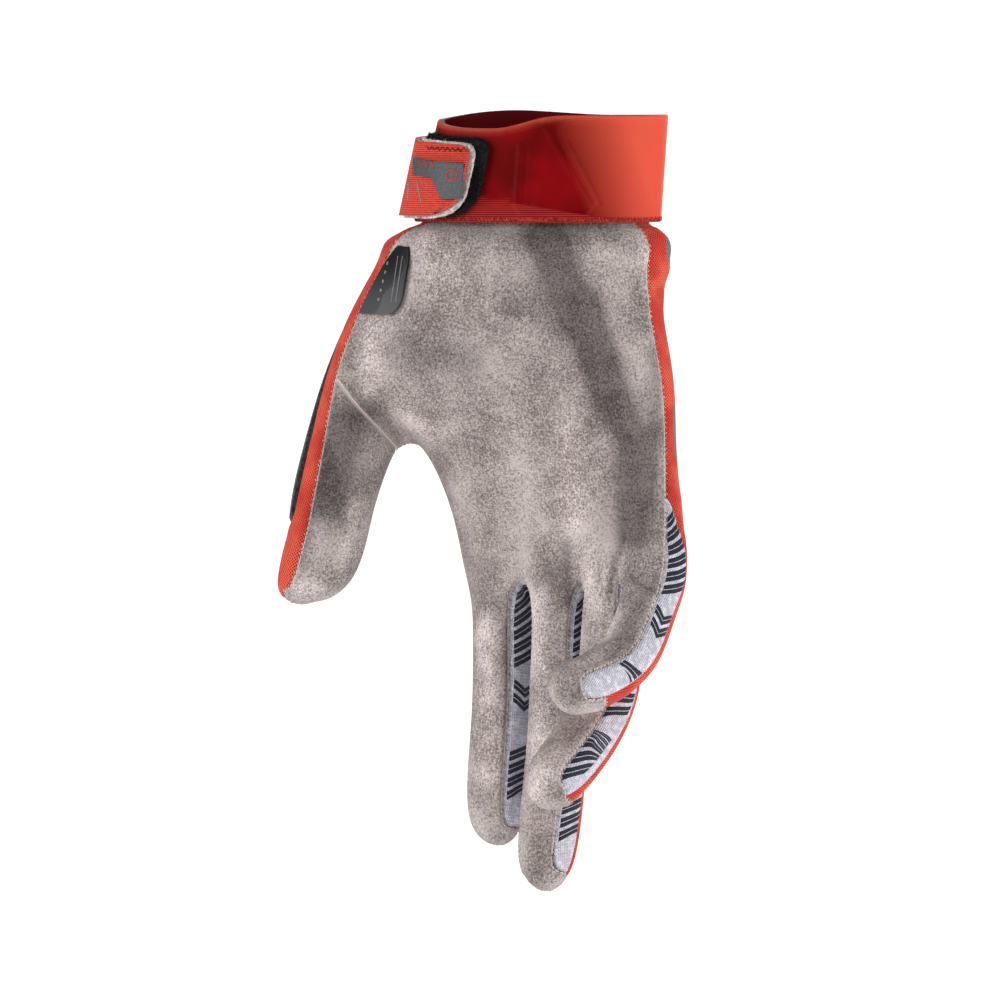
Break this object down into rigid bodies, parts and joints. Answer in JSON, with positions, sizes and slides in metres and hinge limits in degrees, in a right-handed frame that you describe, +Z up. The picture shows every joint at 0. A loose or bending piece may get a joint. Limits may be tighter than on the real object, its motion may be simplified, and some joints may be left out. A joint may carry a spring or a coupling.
{
  "type": "mountain bike glove",
  "caption": "Full-finger right-hand cycling glove with suede palm, mesh back, soft thumb pad, knit finger sides and a neoprene cuff closed by a hook-and-loop strap.",
  "frame": {"origin": "centre of the wrist opening, level with the cuff's upper edge on the palm side", "axes": "+Z up along the forearm away from the fingers, -Y the palm side, -X the thumb's side, +X the little finger's side"},
  "size_m": [0.1188, 0.0816, 0.2269],
  "materials": {
    "suede": "grey brushed synthetic suede",
    "mesh": "red-orange mesh cloth",
    "wipe": "black soft wipe cloth",
    "knit": "white stretch knit with navy bars",
    "neoprene": "smooth red neoprene with raised lines",
    "hook": "black hook tape",
    "felt": "pale felt edge",
    "badge": "grey moulded rubber",
    "label": "charcoal satin label"
  },
  "bodies": {
    "root": {"palm_panel": "suede", "thumb_palm_panel": "suede", "back_panel": "mesh", "thumb_back_panel": "mesh", "thumb_wipe_pad": "wipe", "fourchette_index_middle": "knit", "fourchette_middle_ring": "knit", "fourchette_ring_little": "knit", "little_side_panel": "knit", "cuff_band": "neoprene", "hook_pad": "hook", "strap_lining": "felt", "strap_tab": "mesh", "strap_badge": "badge", "thumb_label": "label"}
  },
  "joints": []
}
